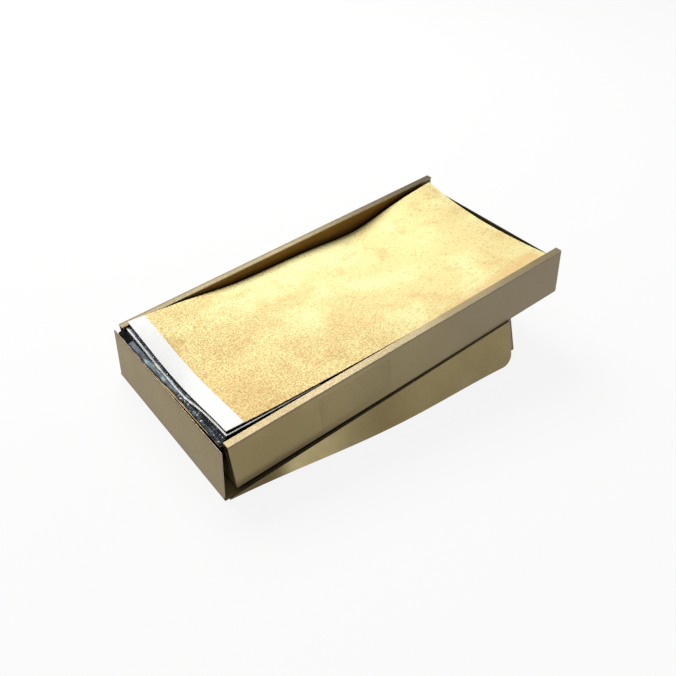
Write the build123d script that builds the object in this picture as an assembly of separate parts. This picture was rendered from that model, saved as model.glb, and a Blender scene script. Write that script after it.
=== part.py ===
from build123d import *
import os
from math import acos, asin, atan2, cos, degrees, hypot, pi, radians, sin

# Sizes of the box, in millimetres and degrees

tray_length = 272.0
tray_width = 138.0
wall_height = 36.0
left_wall_height = 32.9
right_wall_height = 27.0
card = 0.8
double_wall = 4.8
end_wall_taper = 5.0
foot_round = 1.5
tab_length = 24.0
tab_height = 25.0
tab_setback = 1.3

# Sizes of the lid, which folds in three places

fold_gap = 0.5
closed_lid_gap = 1.4
strip_setback = 5.6
spine_drop = 4.3
spine_setback = 0.6
lid_rest_gap = 0.15
lid_flap_depth = 35.8
flap_clearance = 0.5
side_flap_start = 2.5
side_flap_end_setback = 2.4
side_flap_end_taper = 2.4
side_flap_round = 8.0
end_flap_round = 3.0
end_flap_setback = 0.4
end_flap_lean = 18.6
side_flap_lean = 13.0
side_flap_bow = 4.3
fold_slit = 1.2

# Sizes of the leaves

leaf_thickness = 0.25
leaf_spacing = 0.7
leaf_lift = 0.4
leaf_gap = 0.15
top_gap = 0.4
leaf_left_end = 5.4
leaf_right_end = 265.6
leaf_side_clear = 0.6
leaf_front_shift = 5.0
under_front_shift = 3.0
leaf_back_overlap = 2.9
leaf_back_inset = 3.0
end_valley = 6.6
right_valley = 7.4
middle_valley = 2.2
right_front_drop = 3.5
end_strip_width = 11.6
end_step = 0.95
stack_clear = 0.45
stack_end_clear = 0.5
under_leaf_shift = 0.75
overhang = 3.1
overhang_gap = 0.1
overhang_bend = 30.5
overhang_skew = 2.0
overhang_start = 8.0
overhang_end = 9.0
label_length = 55.0
label_height = 26.0
label_left = 62.0
label_bottom = 4.5
label_thickness = 0.12
label_round = 2.0

# How far the back edge of the leaves sags below the rim, at even steps along the box
sag_shares = (0.0, 0.0, 0.09, 0.19, 0.225, 0.245, 0.295, 0.335, 0.23, 0.095, 0.02)
loose_leaf_count = 5
surface_rows = 10

# How sharply the curves of the leaves and the side flaps turn
sag_power = 1.7
left_valley_power = 1.5
right_valley_power = 0.8
left_end_power = 6
right_end_power = 4
front_drop_power = 4
front_drop_end_power = 1.5
front_turn_power = 4
back_turn_power = 20
inset_power = 0.6
bow_power = 2.2

half_width = tray_width / 2
half_card = card / 2

# The closed lid lies over the rims and its end flap hangs just outside the right end wall
fold_z = left_wall_height + fold_gap
hinge_strip_width = wall_height + closed_lid_gap + half_card - fold_z
fold_x = half_card - hinge_strip_width
spine_length = fold_z + spine_drop
main_length = tray_length + flap_clearance - spine_length

# The open lid: the end flap leans on the table and sets the slope of the main panel
end_rise = lid_flap_depth * cos(radians(end_flap_lean)) + half_card * sin(radians(end_flap_lean))
lid_slope = degrees(asin((end_rise - half_card) / main_length))
slope_cos = cos(radians(lid_slope))
slope_sin = sin(radians(lid_slope))

# The tray hangs from the spine and rests on the raised end of the main panel
rest_x = main_length * slope_cos
rest_z = spine_length - main_length * slope_sin
rest_reach = hypot(rest_x, rest_z)
tray_tilt = degrees(atan2(rest_x, rest_z) - acos((fold_z + half_card + lid_rest_gap) / rest_reach))
inner_left = card
inner_right = tray_length - card
front_outer = -half_width
back_outer = half_width
leaf_front = front_outer + double_wall + leaf_side_clear
leaf_back = back_outer - double_wall - leaf_side_clear
leaf_length = leaf_right_end - leaf_left_end
stations = len(sag_shares) - 1


def leaf_height(station, across):
    # A valley across the leaf, deepest at both ends, with the front edge dropping to the right
    along = station / stations
    valley = middle_valley + (end_valley - middle_valley) * (1 - along) ** left_end_power
    valley = valley + (right_valley - middle_valley) * along ** right_end_power
    valley_power = left_valley_power + (right_valley_power - left_valley_power) * along
    drop = right_front_drop * along ** front_drop_end_power * (1 - across) ** front_drop_power
    sag = wall_height * sag_shares[station] * across ** sag_power
    return wall_height + leaf_lift - valley * abs(sin(pi * across)) ** valley_power - drop - sag


def leaf_surface(front_shift, back_shift):
    # Seen from above, the front edge runs in and the back edge runs out towards the left end,
    # and from the middle on the back edge stands off the wall
    grid = []
    for station in range(stations + 1):
        along = station / stations
        x = leaf_left_end + leaf_length * along
        front = leaf_front + front_shift * (1 - along) ** front_turn_power
        inset = leaf_back_inset * sin(pi / 2 * along) ** inset_power
        back = leaf_back + back_shift * (1 - along) ** back_turn_power - inset
        points = []
        for row in range(surface_rows + 1):
            across = row / surface_rows
            y = front + (back - front) * across
            points.append(Vector(x + end_step * along * across, y, leaf_height(station, across)))
        grid.append(points)
    return Face.make_surface_from_array_of_points(grid)


def sheet(surface, thickness):
    return extrude(surface, amount=thickness, dir=(0, 0, -1))


def panel(outline):
    return extrude(outline, amount=half_card, both=True)


def folded_panel(outline, fold_start, fold_length):
    # The panel hangs from its fold, which lies along X, and the fold is a round card edge
    edge = Cylinder(half_card, fold_length, rotation=(0, 90, 0))
    edge = Pos(fold_start + fold_length / 2, 0, 0) * edge
    return panel(outline) + edge


def polygon(*corners):
    return make_face(Polyline(*corners, close=True))


def rounded(face, radius, *corners):
    chosen = [face.vertices().sort_by_distance(corner)[0] for corner in corners]
    return fillet(chosen, radius)


def box(x0, x1, y0, y1, z0, z1):
    size = Box(x1 - x0, y1 - y0, z1 - z0, align=(Align.MIN, Align.MIN, Align.MIN))
    return Pos(x0, y0, z0) * size


nodes = {}

# Tray panels, in the tray's own frame: left end at zero, middle of the width at zero

nodes["tray_floor"] = box(inner_left, inner_right, front_outer + card, back_outer - card, 0, card)


def outer_ply(y_start):
    upright = Plane(origin=(0, y_start, 0), x_dir=(1, 0, 0), z_dir=(0, -1, 0))
    top = wall_height - card
    outline = polygon((0, 0), (tray_length, 0), (tray_length, top), (0, top))
    outline = rounded(outline, foot_round, (tray_length, 0))
    return extrude(upright * outline, amount=card, dir=(0, 1, 0))


def top_fold(y_start):
    fold = box(0, tray_length, y_start, y_start + double_wall, wall_height - card, wall_height)
    return fold


def inner_ply(y_start):
    return box(inner_left, inner_right, y_start, y_start + card, card, wall_height - card)


nodes["front_wall_outer"] = outer_ply(front_outer)
nodes["front_wall_top"] = top_fold(front_outer)
nodes["front_wall_inner"] = inner_ply(front_outer + double_wall - card)
nodes["back_wall_outer"] = outer_ply(back_outer - card)
nodes["back_wall_top"] = top_fold(back_outer - double_wall)
nodes["back_wall_inner"] = inner_ply(back_outer - double_wall)


def end_wall(x_start, height):
    upright = Plane(origin=(x_start, 0, 0), x_dir=(0, 1, 0), z_dir=(1, 0, 0))
    foot = half_width - card
    head = foot - end_wall_taper
    outline = polygon((-foot, 0), (foot, 0), (head, height), (-head, height))
    return extrude(upright * outline, amount=card)


nodes["left_end_wall"] = end_wall(0, left_wall_height)
nodes["right_end_wall"] = end_wall(inner_right, right_wall_height)


def corner_tab(x_start, y_start):
    return box(x_start, x_start + tab_length, y_start, y_start + card, card, card + tab_height)


tab_front = front_outer + card + tab_setback
tab_back = back_outer - card - tab_setback - card
tab_right = inner_right - tab_length
nodes["corner_tab_front_left"] = corner_tab(inner_left, tab_front)
nodes["corner_tab_back_left"] = corner_tab(inner_left, tab_back)
nodes["corner_tab_front_right"] = corner_tab(tab_right, tab_front)
nodes["corner_tab_back_right"] = corner_tab(tab_right, tab_back)

# Clear blank label on the front wall

label_plane = Plane(origin=(0, front_outer, 0), x_dir=(1, 0, 0), z_dir=(0, -1, 0))
label_middle = (label_left + label_length / 2, label_bottom + label_height / 2)
label_outline = Pos(*label_middle) * RectangleRounded(label_length, label_height, label_round)
nodes["clear_label"] = extrude(label_plane * label_outline, amount=label_thickness)

# Leaves: a top leaf with its white end strip, loose leaves under it and the stack

nodes["leaf_top"] = sheet(leaf_surface(leaf_front_shift, leaf_back_overlap), leaf_thickness)

strip_end = leaf_left_end + end_strip_width
strip_zone = box(0, strip_end, front_outer, back_outer, 0, 2 * wall_height)
nodes["leaf_top_end_strip"] = Pos(0, 0, leaf_thickness + leaf_gap) * (nodes["leaf_top"] & strip_zone)

under_surface = leaf_surface(under_front_shift, 0)
under_leaf = sheet(under_surface, leaf_thickness)
for number in range(1, loose_leaf_count + 1):
    left_step = end_step * number - under_leaf_shift
    nodes[f"leaf_under_{number}"] = Pos(-left_step, 0, -top_gap - leaf_spacing * number) * under_leaf

stack_drop = top_gap + leaf_spacing * loose_leaf_count + stack_clear
stack_step = leaf_left_end - inner_left - stack_end_clear
block = extrude(under_surface, amount=wall_height, dir=(0, 0, -1))
above_floor = box(inner_left, inner_right, front_outer, back_outer, card, wall_height)
nodes["leaf_stack"] = (Pos(-stack_step, 0, -stack_drop) * block) & above_floor

# Lid panels; the first fold lies over the left end wall

strip_plane = Plane(origin=(half_card, 0, fold_z), x_dir=(0, 1, 0), z_dir=(0, 0, 1))
strip_half = half_width - strip_setback
strip_end = hinge_strip_width - fold_gap
strip_outline = polygon(
    (-strip_half, 0), (strip_half, 0), (strip_half, strip_end), (0, strip_end), (-strip_half, strip_end - fold_slit)
)
nodes["lid_hinge_strip"] = strip_plane * folded_panel(strip_outline, -strip_half, 2 * strip_half)

# Ends of the lower leaves, resting on the hinge strip

overhang_z = fold_z + half_card + overhang_gap
overhang_plane = Plane(origin=(half_card, 0, overhang_z), x_dir=(0, 1, 0), z_dir=(0, 0, 1))
overhang_front = -half_width + overhang_start
overhang_back = half_width - overhang_end
overhang_outline = polygon(
    (overhang_front, 0),
    (overhang_back, 0),
    (overhang_back, overhang),
    (-overhang_bend, overhang),
    (overhang_front, overhang - overhang_skew),
)
nodes["leaf_overhang"] = extrude(overhang_plane * overhang_outline, amount=leaf_thickness)

# Where the tray stands: tilted, with the spine upright under the second fold

tilt_cos = cos(radians(tray_tilt))
tilt_sin = sin(radians(tray_tilt))
tray_x = -(fold_x * tilt_cos - fold_z * tilt_sin)
tray_z = half_card + spine_length - (fold_x * tilt_sin + fold_z * tilt_cos)
tray_place = Location((tray_x, 0, tray_z), (0, -tray_tilt, 0))
nodes = {name: tray_place * shape for name, shape in nodes.items()}

# Spine panel, hanging upright from the second fold to the table

spine_half = half_width - spine_setback
spine_end = spine_length - fold_gap
spine_outline = polygon((-spine_half, 0), (spine_half, 0), (spine_half, spine_end), (-spine_half, spine_end))
spine_plane = Plane(origin=(0, 0, half_card + spine_length), x_dir=(0, -1, 0), z_dir=(1, 0, 0))
nodes["lid_spine_panel"] = spine_plane * folded_panel(spine_outline, -spine_half, 2 * spine_half)

# Main panel, rising from the third fold under the tray

crease_half = half_width + flap_clearance + half_card
main_half = crease_half - fold_gap
main_end = main_length - fold_gap
main_outline = polygon((-main_half, 0), (main_half, 0), (main_half, main_end), (-main_half, main_end))
main_plane = Plane(origin=(0, 0, half_card), x_dir=(0, -1, 0), z_dir=(-slope_sin, 0, slope_cos))
nodes["lid_main_panel"] = main_plane * folded_panel(main_outline, -main_half, 2 * main_half)

# End flap, leaning out until its edge meets the table

end_half = main_half - end_flap_setback
end_outline = polygon(
    (-end_half, 0), (end_half, 0), (end_half, lid_flap_depth), (-end_half, lid_flap_depth)
)
end_outline = rounded(end_outline, end_flap_round, (end_half, lid_flap_depth), (-end_half, lid_flap_depth))
lean_sin = sin(radians(end_flap_lean))
lean_cos = cos(radians(end_flap_lean))
end_plane = Plane(origin=(rest_x, 0, end_rise), x_dir=(0, -1, 0), z_dir=(lean_cos, 0, lean_sin))
nodes["lid_end_flap"] = end_plane * folded_panel(end_outline, -end_half, 2 * end_half)

# Side flaps, cut to a long wedge so that their lower edges lie along the table

side_cos = cos(radians(side_flap_lean))
side_sin = sin(radians(side_flap_lean))
side_end = main_length - side_flap_end_setback
side_foot = side_end - side_flap_end_taper


def side_bow(distance):
    return side_flap_bow * sin(pi * distance / main_length) ** bow_power


def side_depth(distance):
    lift = (side_bow(distance) - half_card) * side_sin * slope_cos
    return (half_card + distance * slope_sin + lift) / (side_cos * slope_cos)


def side_panel(bow_sign):
    # The card bows out more and more from the straight fold to the lower edge
    grid = []
    lower_edge = []
    for station in range(stations + 1):
        distance = main_length * station / stations
        depth = side_depth(distance)
        bow = bow_sign * side_bow(distance)
        shares = [row / surface_rows for row in range(-surface_rows, 2 * surface_rows + 1)]
        grid.append([Vector(distance, depth * share, bow * share) for share in shares])
        start = side_flap_start + (side_foot - side_flap_start) * station / stations
        lower_edge.append((start, side_depth(start)))
    corners = Polyline(lower_edge[-1], (side_end, 0), (side_flap_start, 0), lower_edge[0])
    outline = make_face([Spline(*lower_edge), corners])
    outline = rounded(outline, side_flap_round, lower_edge[-1])
    bowed = Pos(0, 0, half_card) * sheet(Face.make_surface_from_array_of_points(grid), card)
    reach = side_flap_bow + card
    flap = extrude(outline, amount=reach, both=True) & bowed
    edge = Cylinder(half_card, side_end - side_flap_start, rotation=(0, 90, 0))
    return flap + Pos((side_flap_start + side_end) / 2, 0, 0) * edge


along = Vector(slope_cos, 0, slope_sin)
down = Vector(slope_sin, 0, -slope_cos)


def side_flap(sign):
    # The flap's own Y axis points down and outward, away from the main panel
    outward = down * side_cos + Vector(0, sign, 0) * side_sin
    plane = Plane(origin=(0, sign * crease_half, half_card), x_dir=along, z_dir=along.cross(outward))
    return plane * side_panel(sign)


nodes["lid_front_flap"] = side_flap(-1)
nodes["lid_back_flap"] = side_flap(1)

# The origin is on the table, under the middle of the whole part

bounds = [shape.bounding_box() for shape in nodes.values()]
left_most = min(bound.min.X for bound in bounds)
right_most = max(bound.max.X for bound in bounds)
centre = Pos(-(left_most + right_most) / 2, 0, -min(bound.min.Z for bound in bounds))

os.makedirs("parts", exist_ok=True)
for name, shape in nodes.items():
    export_step(centre * shape, f"parts/{name}.step")
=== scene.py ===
import bmesh
import bpy
from math import cos, pi, radians, sin
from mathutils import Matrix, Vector


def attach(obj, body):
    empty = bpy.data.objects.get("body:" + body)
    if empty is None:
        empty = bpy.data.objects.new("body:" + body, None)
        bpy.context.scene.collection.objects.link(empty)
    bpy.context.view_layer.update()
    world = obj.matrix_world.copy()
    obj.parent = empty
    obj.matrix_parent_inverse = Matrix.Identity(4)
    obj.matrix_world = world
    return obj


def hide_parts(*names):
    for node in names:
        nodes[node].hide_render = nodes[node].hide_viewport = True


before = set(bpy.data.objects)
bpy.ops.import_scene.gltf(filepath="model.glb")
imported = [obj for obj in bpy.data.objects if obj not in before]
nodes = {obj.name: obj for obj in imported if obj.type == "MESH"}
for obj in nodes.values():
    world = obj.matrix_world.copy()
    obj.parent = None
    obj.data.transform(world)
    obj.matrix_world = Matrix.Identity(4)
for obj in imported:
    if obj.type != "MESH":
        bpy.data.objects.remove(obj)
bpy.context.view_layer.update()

tilt = radians(7.4031)
slope = radians(8.2415)
side_lean = radians(13.0)
end_lean = radians(18.6)


# Node helpers for the materials

class Shader:
    def __init__(self, name):
        self.material = bpy.data.materials.new(name)
        self.material.use_nodes = True
        self.tree = self.material.node_tree
        self.tree.nodes.clear()
        self.output = self.tree.nodes.new("ShaderNodeOutputMaterial")
        self.coordinates = self.tree.nodes.new("ShaderNodeTexCoord")

    def link(self, source, target):
        self.tree.links.new(source, target)

    def set(self, socket, value):
        if isinstance(value, bpy.types.NodeSocket):
            self.link(value, socket)
        elif value is not None:
            socket.default_value = value

    def place(self, rotation=(0, 0, 0), scale=(1, 1, 1)):
        mapping = self.tree.nodes.new("ShaderNodeMapping")
        self.link(self.coordinates.outputs["Object"], mapping.inputs["Vector"])
        mapping.inputs["Rotation"].default_value = rotation
        mapping.inputs["Scale"].default_value = scale
        return mapping.outputs["Vector"]

    def noise(self, vector, scale, detail=3.0, roughness=0.55, distortion=0.0):
        texture = self.tree.nodes.new("ShaderNodeTexNoise")
        self.set(texture.inputs["Vector"], vector)
        texture.inputs["Scale"].default_value = scale
        texture.inputs["Detail"].default_value = detail
        texture.inputs["Roughness"].default_value = roughness
        texture.inputs["Distortion"].default_value = distortion
        return texture.outputs["Fac"]

    def ramp(self, value, low, high, to_low=0.0, to_high=1.0):
        ranged = self.tree.nodes.new("ShaderNodeMapRange")
        ranged.interpolation_type = "SMOOTHSTEP"
        self.set(ranged.inputs["Value"], value)
        ranged.inputs["From Min"].default_value = low
        ranged.inputs["From Max"].default_value = high
        ranged.inputs["To Min"].default_value = to_low
        ranged.inputs["To Max"].default_value = to_high
        return ranged.outputs["Result"]

    def math(self, operation, first, second=None):
        maths = self.tree.nodes.new("ShaderNodeMath")
        maths.operation = operation
        self.set(maths.inputs[0], first)
        self.set(maths.inputs[1], second)
        return maths.outputs["Value"]

    def mix(self, share, first, second, blend="MIX"):
        mixed = self.tree.nodes.new("ShaderNodeMix")
        mixed.data_type = "RGBA"
        mixed.blend_type = blend
        self.set(mixed.inputs["Factor"], share)
        self.set(mixed.inputs["A"], first)
        self.set(mixed.inputs["B"], second)
        return mixed.outputs["Result"]

    def facing(self, direction):
        product = self.tree.nodes.new("ShaderNodeVectorMath")
        product.operation = "DOT_PRODUCT"
        self.link(self.coordinates.outputs["Normal"], product.inputs[0])
        product.inputs[1].default_value = direction
        return product.outputs["Value"]

    def along(self, direction):
        product = self.tree.nodes.new("ShaderNodeVectorMath")
        product.operation = "DOT_PRODUCT"
        self.link(self.coordinates.outputs["Object"], product.inputs[0])
        product.inputs[1].default_value = direction
        return product.outputs["Value"]

    def gap_shade_mask(self, reach, low, high):
        # Painted shade mask: one far into a gap or a corner, zero on an open face
        occlusion = self.tree.nodes.new("ShaderNodeAmbientOcclusion")
        occlusion.samples = 8
        occlusion.inputs["Distance"].default_value = reach
        return self.ramp(occlusion.outputs["AO"], low, high, 1.0, 0.0)

    def bump(self, height, strength, distance, normal=None):
        bumped = self.tree.nodes.new("ShaderNodeBump")
        bumped.inputs["Strength"].default_value = strength
        bumped.inputs["Distance"].default_value = distance
        self.set(bumped.inputs["Height"], height)
        self.set(bumped.inputs["Normal"], normal)
        return bumped.outputs["Normal"]

    def finish(self, colour, roughness, normal, **uniform):
        shader = self.tree.nodes.new("ShaderNodeBsdfPrincipled")
        self.set(shader.inputs["Base Color"], colour)
        self.set(shader.inputs["Roughness"], roughness)
        self.set(shader.inputs["Normal"], normal)
        for name, value in uniform.items():
            shader.inputs[name.replace("_", " ")].default_value = value
        self.link(shader.outputs["BSDF"], self.output.inputs["Surface"])
        return self.material


def srgb(red, green, blue):
    values = [channel / 255 for channel in (red, green, blue)]
    linear = [v / 12.92 if v <= 0.04045 else ((v + 0.055) / 1.055) ** 2.4 for v in values]
    return (*linear, 1.0)


PRINT = (srgb(154, 137, 92), srgb(164, 148, 104), srgb(130, 113, 72))
# Copies of the print toned for the light on the front rim and for the shade on the back rim: painted light
# and painted shade
TOP_LIT_PRINT = (srgb(148, 133, 98), srgb(158, 144, 110), srgb(126, 111, 78))
RIM_SHADED_PRINT = (srgb(116, 106, 78), srgb(128, 117, 86), srgb(98, 88, 60))
SHADED_PRINT = (srgb(124, 88, 30), srgb(136, 99, 38), srgb(101, 68, 22))
PLAIN = (srgb(141, 123, 80), srgb(150, 132, 87), srgb(118, 100, 63))
BOARD = (srgb(176, 160, 138), srgb(140, 124, 104))
# Painted shade: a dark cut edge for the right end wall and the lid's end flap
SHADED_BOARD = (srgb(48, 34, 26), srgb(34, 22, 16))
PAINTED_SHADE = srgb(84, 68, 30)
EDGE_ROUND_DARK = srgb(60, 46, 26)
CARD_GAP_SHADE = srgb(12, 6, 4)
FRONT_GREY = srgb(134, 122, 98)
RIM_DARK = srgb(62, 52, 26)
FLAP_HIGHLIGHT = srgb(222, 205, 150)
# Each gold pair runs from painted shade at the left front to painted light at the right back
GOLD_GROUND = (srgb(210, 182, 114), srgb(242, 226, 157))
GOLD_LIGHT = (srgb(227, 206, 136), srgb(250, 246, 183))
GOLD_PATCH = srgb(229, 189, 120)
GOLD_GRANULE = srgb(198, 158, 92)
GOLD_GLINT = srgb(252, 242, 178)
GOLD_DOT = srgb(170, 146, 84)
GOLD_SHADE_BAND = srgb(232, 188, 122)
GOLD_GAP_SHADE = srgb(70, 44, 14)
SILVER = (srgb(58, 66, 74), srgb(26, 32, 39))
SILVER_STREAK = srgb(96, 112, 116)
SILVER_PIT = srgb(12, 16, 20)
SILVER_GLINT = srgb(176, 186, 192)
SILVER_GAP_SHADE = srgb(3, 3, 4)
SHADE_BLACK_FOIL = (srgb(10, 5, 5), srgb(4, 2, 3))
PAPER = (srgb(254, 255, 255), srgb(250, 252, 254))
PAPER_FIBRE = srgb(238, 243, 247)
PAPER_GAP_SHADE = srgb(60, 72, 80)
FILM = (srgb(150, 138, 106), srgb(130, 118, 88))


def card(name, outward, printed=PRINT, shade_mask=None, overlay=None, board=BOARD, gap_shade_depth=1.0):
    # One side printed bronze, the other plain tan, the cut edge pale board and the rounds between edge and
    # face darker; painted shade darkens creases, folds and hollows
    shader = Shader(name)
    space = shader.place()
    broad = shader.noise(space, 26.0, 2.0)
    fine = shader.noise(space, 900.0, 4.0, 0.7)
    fibre = shader.noise(shader.place(scale=(1.0, 1.0, 6.0)), 420.0, 3.0, 0.6)
    facing = shader.facing(outward)
    bronze = shader.mix(shader.ramp(broad, 0.3, 0.7), printed[0], printed[1])
    bronze = shader.mix(shader.ramp(fine, 0.35, 0.75, 0.0, 0.35), bronze, printed[2])
    # A tone mixed over the print: the back rim's painted shade, the front flap's painted highlight and the
    # front wall's grey towards the right
    if overlay:
        share, tint = overlay(shader)
        bronze = shader.mix(share, bronze, tint)
    plain = shader.mix(shader.ramp(broad, 0.3, 0.7), PLAIN[0], PLAIN[1])
    plain = shader.mix(shader.ramp(fibre, 0.4, 0.75, 0.0, 0.4), plain, PLAIN[2])
    core = shader.mix(shader.ramp(fibre, 0.35, 0.7), board[0], board[1])
    sided = shader.mix(shader.ramp(facing, -0.05, 0.05), plain, bronze)
    # Painted shade along creases, folds and shaded ends
    if shade_mask:
        sided = shader.mix(shade_mask(shader), sided, PAINTED_SHADE)
    flatness = shader.math("ABSOLUTE", facing)
    colour = shader.mix(shader.ramp(flatness, 0.35, 0.45), core, EDGE_ROUND_DARK)
    colour = shader.mix(shader.ramp(flatness, 0.9, 0.99), colour, sided)
    # Painted shade where the card lies in a gap or a corner
    if gap_shade_depth:
        share = gap_shade_depth(shader) if callable(gap_shade_depth) else gap_shade_depth
        gap = shader.math("MULTIPLY", shader.gap_shade_mask(0.009, 0.2, 0.68), share)
        colour = shader.mix(gap, colour, CARD_GAP_SHADE)
    roughness = shader.ramp(fine, 0.2, 0.8, 0.36, 0.52)
    normal = shader.bump(fine, 0.10, 0.0002)
    normal = shader.bump(broad, 0.25, 0.0012, normal)
    return shader.finish(colour, roughness, normal, Metallic=0.6)


def front_shade_band(shader, patches):
    # Painted shade: an orange band along the leaf's front edge, widening to the right and stopping short
    # of the corner
    line = shader.along((-0.13, 1, 0))
    line = shader.math("ADD", line, shader.math("MULTIPLY", patches, 0.008))
    band = shader.ramp(line, -0.066, -0.058, 0.55, 0.0)
    right = shader.along((1, 0, 0))
    begins = shader.ramp(right, -0.02, 0.03)
    stops = shader.ramp(right, 0.121, 0.125, 1.0, 0.0)
    return shader.math("MULTIPLY", band, shader.math("MULTIPLY", begins, stops))


def gold_foil():
    # Warm gold pressed into granules about a millimetre wide, with painted light making it paler towards
    # the right and the back
    shader = Shader("gold_foil")
    space = shader.place()
    warp = shader.noise(space, 24.0, 3.0, 0.5, 0.5)
    patches = shader.noise(space, 70.0, 3.0, 0.6, 0.3)
    granules = shader.noise(space, 900.0, 1.0, 0.5)
    gold_glints = shader.noise(space, 620.0, 2.0, 0.5)
    dots = shader.noise(space, 560.0, 0.0, 0.5)
    across = shader.along((0.9, 0.7, 0))
    across = shader.math("ADD", across, shader.math("MULTIPLY", warp, 0.09))
    # Painted light: paler towards the right and the back
    pale = shader.ramp(across, -0.08, 0.085)
    ground = shader.mix(pale, *GOLD_GROUND)
    light = shader.mix(pale, *GOLD_LIGHT)
    colour = shader.mix(shader.ramp(warp, 0.40, 0.62, 0.0, 0.75), ground, light)
    colour = shader.mix(shader.ramp(patches, 0.52, 0.72, 0.0, 0.55), colour, GOLD_PATCH)
    strength = shader.ramp(pale, 0.0, 1.0, 0.5, 0.12)
    grain = shader.math("MULTIPLY", shader.ramp(granules, 0.46, 0.6), strength)
    colour = shader.mix(grain, colour, GOLD_GRANULE)
    # Painted glints: pale specks over the grain
    colour = shader.mix(shader.ramp(gold_glints, 0.56, 0.7, 0.0, 0.4), colour, GOLD_GLINT)
    colour = shader.mix(shader.ramp(dots, 0.66, 0.72, 0.0, 0.3), colour, GOLD_DOT)
    colour = shader.mix(front_shade_band(shader, patches), colour, GOLD_SHADE_BAND)
    # Painted shade in hollows and corners
    colour = shader.mix(shader.gap_shade_mask(0.003, 0.1, 0.5), colour, GOLD_GAP_SHADE)
    roughness = shader.ramp(granules, 0.3, 0.7, 0.5, 0.68)
    normal = shader.bump(granules, 0.45, 0.0003)
    normal = shader.bump(patches, 0.2, 0.0012, normal)
    return shader.finish(colour, roughness, normal, Metallic=0.2)


def silver_foil(name, smooth):
    # Dark mirror-like foil: pressed with sharp glitter, or nearly smooth with soft streaks
    shader = Shader(name)
    space = shader.place()
    clouds = shader.noise(space, 60.0, 3.0, 0.5, 0.6)
    streaks = shader.noise(shader.place(scale=(1.0, 0.25, 1.0)), 300.0, 2.0, 0.5, 0.4)
    grain = shader.noise(space, 900.0, 3.0, 0.65)
    glints = shader.noise(space, 700.0, 1.0, 0.5)
    colour = shader.mix(shader.ramp(clouds, 0.35, 0.65), *SILVER)
    if smooth:
        colour = shader.mix(shader.ramp(streaks, 0.45, 0.7), colour, SILVER_STREAK)
    else:
        colour = shader.mix(shader.ramp(grain, 0.44, 0.6), colour, SILVER_PIT)
        colour = shader.mix(shader.ramp(glints, 0.64, 0.7, 0.0, 0.9), colour, SILVER_GLINT)
    # Painted shade in hollows and corners
    colour = shader.mix(shader.gap_shade_mask(0.004, 0.15, 0.7), colour, SILVER_GAP_SHADE)
    roughness = shader.ramp(grain, 0.3, 0.7, 0.36, 0.5)
    normal = shader.bump(grain, 0.2 if smooth else 0.9, 0.0004)
    normal = shader.bump(clouds, 0.3, 0.002, normal)
    return shader.finish(colour, roughness, normal, Metallic=0.8)


def white_paper(name):
    # White, with faint fibres and painted shade in hollows and corners
    shader = Shader(name)
    space = shader.place()
    fibre = shader.noise(space, 700.0, 4.0, 0.6)
    clouds = shader.noise(space, 40.0, 2.0)
    colour = shader.mix(shader.ramp(clouds, 0.3, 0.7), *PAPER)
    colour = shader.mix(shader.ramp(fibre, 0.5, 0.8, 0.0, 0.3), colour, PAPER_FIBRE)
    colour = shader.mix(shader.gap_shade_mask(0.004, 0.1, 0.6), colour, PAPER_GAP_SHADE)
    normal = shader.bump(fibre, 0.12, 0.0002)
    return shader.finish(colour, 0.6, normal)


def clear_film():
    # Nearly invisible, with a faint darker rim
    shader = Shader("clear_film")
    ripples = shader.noise(shader.place(), 90.0, 2.0)
    colour = shader.mix(shader.ramp(ripples, 0.3, 0.7), *FILM)
    normal = shader.bump(ripples, 0.2, 0.0006)
    shader.finish(colour, 0.3, normal)
    coat = shader.tree.nodes["Principled BSDF"]
    face = shader.math("ABSOLUTE", shader.facing((0, -1, 0)))
    shader.set(coat.inputs["Alpha"], shader.ramp(face, 0.6, 0.9, 0.5, 0.03))
    return shader.material


def dress(material, *names):
    for name in names:
        for slot in nodes[name].material_slots:
            slot.material = material


tray_up = Vector((-sin(tilt), 0, cos(tilt)))
tray_right = Vector((cos(tilt), 0, sin(tilt)))
lid_up = Vector((-sin(slope), 0, cos(slope)))
side_up = lid_up * sin(side_lean)
lid_out = side_up + Vector((0, -cos(side_lean), 0))
lid_back = side_up + Vector((0, cos(side_lean), 0))


def reach(name, direction):
    # How far a node goes along a direction, lowest and highest
    places = [vertex.co.dot(direction) for vertex in nodes[name].data.vertices]
    return min(places), max(places)


tray_back_way = Vector((0, 1, 0))
tray_front = reach("front_wall_outer", tray_back_way)[0]
tray_back = reach("back_wall_outer", tray_back_way)[1]
wall_foot, wall_top = reach("front_wall_outer", tray_up)
tray_origin = tray_right * reach("front_wall_top", tray_right)[0] + tray_up * wall_foot


def front_rim_and_foot_shade(shader):
    # Painted shade: a dark line under the rim, and shade at the wall's foot that fades towards the right
    height = shader.along(tray_up)
    top = shader.ramp(height, wall_top - 0.0009, wall_top - 0.0003, 0.0, 0.75)
    foot = shader.ramp(height, wall_foot + 0.0005, wall_foot + 0.0075, 0.8, 0.0)
    foot = shader.math("MULTIPLY", foot, shader.ramp(shader.along((1, 0, 0)), -0.1, 0.0, 1.0, 0.0))
    return shader.math("MAXIMUM", top, foot)


def front_grey(shader):
    # The front wall turns greyer towards the right
    return shader.ramp(shader.along((1, 0, 0)), -0.1, 0.12, 0.0, 0.85), FRONT_GREY


def rim_fold_shade(shader):
    # Painted shade: the back rim is darker along its outer fold
    depth = shader.along((0, 1, 0))
    return shader.ramp(depth, tray_back - 0.0018, tray_back - 0.0006, 0.0, 0.8)


def rim_shade(shader):
    # The back rim falls into shade towards the right
    return shader.ramp(shader.along((1, 0, 0)), -0.02, 0.13, 0.0, 0.7), RIM_DARK


def wall_end(shader):
    # The back wall's inner face ends in shade at the right
    return shader.ramp(shader.along((1, 0, 0)), 0.116, 0.13, 0.0, 0.9)


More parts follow.
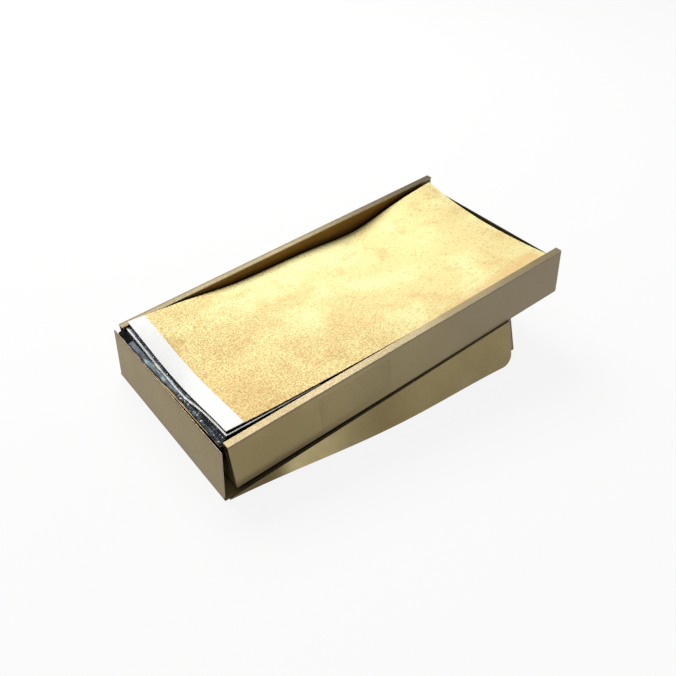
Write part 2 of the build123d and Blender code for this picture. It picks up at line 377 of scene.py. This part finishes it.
def flap_highlight(shader):
    # Painted highlight: the print is paler on the upper left part of the front flap
    broad = shader.noise(shader.place(), 60.0, 2.0)
    left = shader.ramp(shader.along((1, 0, 0)), -0.105, -0.09)
    right = shader.ramp(shader.along((1, 0, 0)), -0.088, -0.025, 1.0, 0.0)
    patch = shader.math("MULTIPLY", left, right)
    share = shader.math("MULTIPLY", patch, shader.ramp(broad, 0.3, 0.6, 0.75, 1.0))
    return share, FLAP_HIGHLIGHT


def flap_shade(shader):
    # The front flap's left end lies in the wall's shade
    return shader.ramp(shader.along((1, 0, 0)), -0.112, -0.092, 0.65, 0.1)


def strip_shade(shader):
    # The hinge strip's outside is shaded in soft clouds
    return shader.ramp(shader.noise(shader.place(), 80.0, 2.0), 0.3, 0.7, 0.5, 0.65)


def flap_gap_shade(shader):
    # Painted shade from the hollows over the front flap darkens it less towards the right
    return shader.ramp(shader.along((1, 0, 0)), -0.06, 0.03, 1.0, 0.1)


dress(card("card_front", (0, -1, 0), shade_mask=front_rim_and_foot_shade, overlay=front_grey, gap_shade_depth=0.0), "front_wall_outer")
dress(card("card_front_facing", (0, -1, 0), SHADED_PRINT, shade_mask=wall_end), "back_wall_inner")
dress(card("card_back", (0, 1, 0)), "back_wall_outer", "front_wall_inner")
dress(card("card_top", tray_up, TOP_LIT_PRINT), "front_wall_top")
dress(card("card_back_rim", tray_up, RIM_SHADED_PRINT, shade_mask=rim_fold_shade, overlay=rim_shade), "back_wall_top")
dress(card("card_left", -tray_right), "left_end_wall")
dress(card("card_right", tray_right, board=SHADED_BOARD), "right_end_wall")
dress(card("card_floor", -tray_up), "tray_floor")
dress(card("card_strip", -tray_up, shade_mask=strip_shade, gap_shade_depth=0.6), "lid_hinge_strip")
dress(card("card_spine", (1, 0, 0), gap_shade_depth=0.0), "lid_spine_panel")
dress(card("card_lid", lid_up, gap_shade_depth=flap_gap_shade), "lid_main_panel")
flap_card = card("card_lid_front", lid_out, shade_mask=flap_shade, overlay=flap_highlight, gap_shade_depth=flap_gap_shade)
dress(flap_card, "lid_front_flap")
dress(card("card_lid_back", lid_back), "lid_back_flap")
dress(card("card_lid_end", (cos(end_lean), 0, sin(end_lean)), board=SHADED_BOARD), "lid_end_flap")
dress(card("card_tab_front", (0, -1, 0)), "corner_tab_front_left", "corner_tab_front_right")
dress(card("card_tab_back", (0, 1, 0)), "corner_tab_back_left", "corner_tab_back_right")

glitter = silver_foil("silver_foil", smooth=False)
sheen = silver_foil("silver_sheen", smooth=True)
paper = white_paper("white_strip")
dress(gold_foil(), "leaf_top")
dress(glitter, "leaf_stack", *[f"leaf_under_{number}" for number in range(2, 6)])
dress(paper, "leaf_top_end_strip")


def tray_point(x, y, z):
    # From the tray's left end, middle and underside to the frame
    return tray_origin + tray_right * x + Vector((0, y, 0)) + tray_up * z


def piece(name, shape, *materials):
    mesh = bpy.data.meshes.new(name)
    shape.to_mesh(mesh)
    shape.free()
    for material in materials:
        mesh.materials.append(material)
    for polygon in mesh.polygons:
        polygon.use_smooth = True
    mesh.set_sharp_from_angle(angle=radians(40))
    made = bpy.data.objects.new(name, mesh)
    bpy.context.scene.collection.objects.link(made)
    return made


# The second leaf: its left end slips out from under the top leaf and droops

curl_length = 0.034
white_width = 0.0011
shaded_strip_width = 0.0118
front_line = 0.0008
front_line_length = 0.06
far_reach = 0.0029
near_reach = 0.0012
far_droop = 0.0011
longest_edge = 0.002


def second_leaf():
    shape = bmesh.new()
    shape.from_mesh(nodes["leaf_under_1"].data)
    bmesh.ops.remove_doubles(shape, verts=shape.verts, dist=1e-6)
    left = min((vertex.co - tray_origin).dot(tray_right) for vertex in shape.verts)
    for _ in range(3):
        long = [
            edge for edge in shape.edges
            if min((vertex.co - tray_origin).dot(tray_right) for vertex in edge.verts) < left + curl_length
            and edge.calc_length() > longest_edge
        ]
        bmesh.ops.subdivide_edges(shape, edges=long, cuts=1, use_grid_fill=True)
    for width in (white_width, shaded_strip_width):
        everything = [*shape.verts, *shape.edges, *shape.faces]
        place = tray_origin + tray_right * (left + width)
        bmesh.ops.bisect_plane(shape, geom=everything, plane_co=place, plane_no=tray_right)
    inward = {vertex: (vertex.co - tray_origin).dot(tray_right) - left for vertex in shape.verts}
    near_end = [vertex.co for vertex, depth in inward.items() if depth < 1e-5]
    line_end = [
        vertex.co for vertex, depth in inward.items()
        if front_line_length - 0.01 < depth < front_line_length
    ]
    start = min(near_end, key=lambda place: place.y)
    end = min(line_end, key=lambda place: place.y)
    skew = (end.y - start.y) / (end - start).dot(tray_right)
    across = Vector((0, 1, 0)) - tray_right * skew
    line = start + Vector((0, front_line, 0))
    everything = [*shape.verts, *shape.edges, *shape.faces]
    bmesh.ops.bisect_plane(shape, geom=everything, plane_co=line, plane_no=across)
    # Painted shade: the end strip is drawn in the dark sheen foil, white only along its outer edge and
    # along a line at the front
    for face in shape.faces:
        middle = face.calc_center_median()
        depth = (middle - tray_origin).dot(tray_right) - left
        at_front = (middle - line).dot(across) < 0 and depth < front_line_length
        face.material_index = 2 if depth < white_width or at_front else (1 if depth < shaded_strip_width else 0)
    for vertex in shape.verts:
        along = (vertex.co - tray_origin).dot(tray_right) - left
        curl = max(0.0, 1 - along / curl_length) ** 2
        across = (vertex.co.y - tray_front) / (tray_back - tray_front)
        far = min(max((across - 0.25) / 0.2, 0.0), 1.0)
        reached = near_reach + (far_reach - near_reach) * far * far * (3 - 2 * far)
        vertex.co -= tray_right * reached * curl
        vertex.co -= tray_up * far_droop * far * curl
    return piece("second_leaf", shape, glitter, sheen, paper)


leaf = second_leaf()
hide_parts("leaf_under_1")
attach(leaf, "tray")


# Ends of the lower leaves on the hinge strip: smooth towards the back, pressed towards the front, and
# black as painted shade in the far corner

def shade_black_foil():
    # Painted shade: nearly black, for the ends in the far corner
    shader = Shader("shade_black_foil")
    clouds = shader.noise(shader.place(), 200.0, 2.0)
    colour = shader.mix(shader.ramp(clouds, 0.3, 0.7), *SHADE_BLACK_FOIL)
    roughness = shader.ramp(clouds, 0.2, 0.8, 0.75, 0.9)
    return shader.finish(colour, roughness, shader.bump(clouds, 0.2, 0.0004), Specular_IOR_Level=0.1)


shadowed = shade_black_foil()
foil_inner = 0.0006
foil_outer = -0.0034
foil_front_step = 0.0013
foil_front_inset = 0.0055
foil_back_inset = 0.0054
foil_lift = 0.00012
foil_thickness = 0.00008
foil_rows = 96
foil_columns = 6
smooth_share = 0.42
shade_black_share = 0.89


def foil_ends():
    shape = bmesh.new()
    low = reach("leaf_overhang", tray_up)[0] - tray_origin.dot(tray_up)
    front, back = tray_front + foil_front_inset, tray_back - foil_back_inset
    grid = []
    for row in range(foil_rows + 1):
        y = front + (back - front) * row / foil_rows
        share = (y - tray_front) / (tray_back - tray_front)
        edge = foil_outer + foil_front_step * (1 - min(max((share - smooth_share) / 0.2, 0.0), 1.0))
        edge = edge + 0.00012 * sin(share * 43.0) + 0.0001 * sin(share * 91.0 + 1.0)
        line = []
        for column in range(foil_columns + 1):
            across = column / foil_columns
            x = foil_inner + (edge - foil_inner) * across
            wave = 0.00022 * (1 + sin(share * 61.0 + across * 2.0)) + 0.0003 * sin(pi * across)
            line.append(shape.verts.new(tray_point(x, y, low + foil_lift + wave)))
        grid.append(line)
    for row in range(foil_rows):
        for column in range(foil_columns):
            this, after = grid[row], grid[row + 1]
            face = shape.faces.new((this[column], this[column + 1], after[column + 1], after[column]))
            share = (row + 0.5) / foil_rows
            # Past the smooth part the far corner gets the black foil as painted shade
            face.material_index = 2 if share > shade_black_share else (1 if share > smooth_share else 0)
    bmesh.ops.recalc_face_normals(shape, faces=shape.faces)
    return piece("foil_ends", shape, glitter, sheen, shadowed)


ends = foil_ends()
thick = ends.modifiers.new("thickness", "SOLIDIFY")
thick.thickness = foil_thickness
thick.offset = 1.0
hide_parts("leaf_overhang")
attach(ends, "hinge_strip")


# The clear label, a thin plate just off the wall

label_corner = 0.002
label_thickness = 0.00008
corner_steps = 6

def label_plate():
    shape = bmesh.new()
    across = Vector((0, 1, 0))
    low_x, high_x = reach("clear_label", tray_right)
    low_z, high_z = reach("clear_label", tray_up)
    face_y = reach("clear_label", across)[0]
    centres = ((high_x, high_z, 0), (low_x, high_z, 1), (low_x, low_z, 2), (high_x, low_z, 3))
    outline = []
    for x, z, quarter in centres:
        inward_x = label_corner if x == low_x else -label_corner
        inward_z = label_corner if z == low_z else -label_corner
        for step in range(corner_steps + 1):
            angle = pi / 2 * (quarter + step / corner_steps)
            place = tray_right * (x + inward_x + label_corner * cos(angle))
            place = place + tray_up * (z + inward_z + label_corner * sin(angle))
            outline.append(shape.verts.new(place + across * face_y))
    face = shape.faces.new(outline)
    grown = bmesh.ops.extrude_face_region(shape, geom=[face])
    for item in grown["geom"]:
        if isinstance(item, bmesh.types.BMVert):
            item.co.y += label_thickness
    bmesh.ops.recalc_face_normals(shape, faces=shape.faces)
    return piece("label_film", shape, clear_film())


label = label_plate()
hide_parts("clear_label")
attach(label, "tray")

# Small rounds on the card's cut edges

edge_round = 0.00014
sharp_edge = radians(40)

for name, shape in nodes.items():
    if name.startswith("leaf") or name == "clear_label":
        continue
    edge = shape.modifiers.new("soft edge", "BEVEL")
    edge.width = edge_round
    edge.segments = 2
    edge.limit_method = "ANGLE"
    edge.angle_limit = sharp_edge


# Floor, backdrop, light and camera

floor_size = 8
floor_drop = 0.0001
key_place = (0.07, 0.77, 0.92)
key_power = 15.5
camera_place = (-0.28257, -0.34436, 0.35817)
camera_turn = (radians(52.2969), radians(-2.1093), radians(-37.2425))
camera_lens = 42.187

def pale_floor():
    shader = Shader("pale_floor")
    nodes_of = shader.tree.nodes
    path = nodes_of.new("ShaderNodeLightPath")
    diffuse = nodes_of.new("ShaderNodeBsdfDiffuse")
    diffuse.inputs["Color"].default_value = (0.86, 0.86, 0.86, 1)
    white = nodes_of.new("ShaderNodeEmission")
    white.inputs["Strength"].default_value = 1.0
    mixed = nodes_of.new("ShaderNodeMixShader")
    seen = shader.math("MAXIMUM", path.outputs["Is Camera Ray"], path.outputs["Is Glossy Ray"])
    seen = shader.math("MAXIMUM", seen, path.outputs["Is Transmission Ray"])
    shader.set(mixed.inputs["Fac"], shader.math("MULTIPLY", seen, 0.88))
    shader.link(diffuse.outputs["BSDF"], mixed.inputs[1])
    shader.link(white.outputs["Emission"], mixed.inputs[2])
    shader.link(mixed.outputs["Shader"], shader.output.inputs["Surface"])
    return shader.material


bpy.ops.mesh.primitive_plane_add(size=floor_size, location=(0, 0, -floor_drop))
floor = bpy.context.object
floor.name = "floor"
floor.data.materials.append(pale_floor())


def studio_world():
    # Bright near the horizon like a pale wall, dim overhead
    world = bpy.data.worlds.new("studio")
    world.use_nodes = True
    tree = world.node_tree
    sky = tree.nodes["Background"]
    sky.inputs["Color"].default_value = (1.0, 0.99, 0.975, 1)
    coordinates = tree.nodes.new("ShaderNodeTexCoord")
    parts = tree.nodes.new("ShaderNodeSeparateXYZ")
    height = tree.nodes.new("ShaderNodeMapRange")
    height.interpolation_type = "SMOOTHSTEP"
    height.inputs["From Min"].default_value = 0.22
    height.inputs["From Max"].default_value = 0.6
    height.inputs["To Min"].default_value = 0.95
    height.inputs["To Max"].default_value = 0.12
    tree.links.new(coordinates.outputs["Generated"], parts.inputs["Vector"])
    tree.links.new(parts.outputs["Z"], height.inputs["Value"])
    tree.links.new(height.outputs["Result"], sky.inputs["Strength"])
    bpy.context.scene.world = world


studio_world()


def softbox(name, place, width, height, power, colour):
    lamp = bpy.data.lights.new(name, "AREA")
    lamp.shape = "RECTANGLE"
    lamp.size = width
    lamp.size_y = height
    lamp.energy = power
    lamp.color = colour
    holder = bpy.data.objects.new(name, lamp)
    bpy.context.scene.collection.objects.link(holder)
    holder.location = place
    holder.rotation_euler = (-Vector(place)).to_track_quat("-Z", "Y").to_euler()


softbox("key_light", key_place, 1.0, 0.7, key_power, (1.0, 0.985, 0.96))

camera = bpy.data.cameras.new("camera")
camera.sensor_width = 36.0
camera.lens = camera_lens
camera_holder = bpy.data.objects.new("camera", camera)
bpy.context.scene.collection.objects.link(camera_holder)
camera_holder.location = camera_place
camera_holder.rotation_euler = camera_turn
bpy.context.scene.camera = camera_holder
bpy.context.scene.view_settings.view_transform = "Standard"
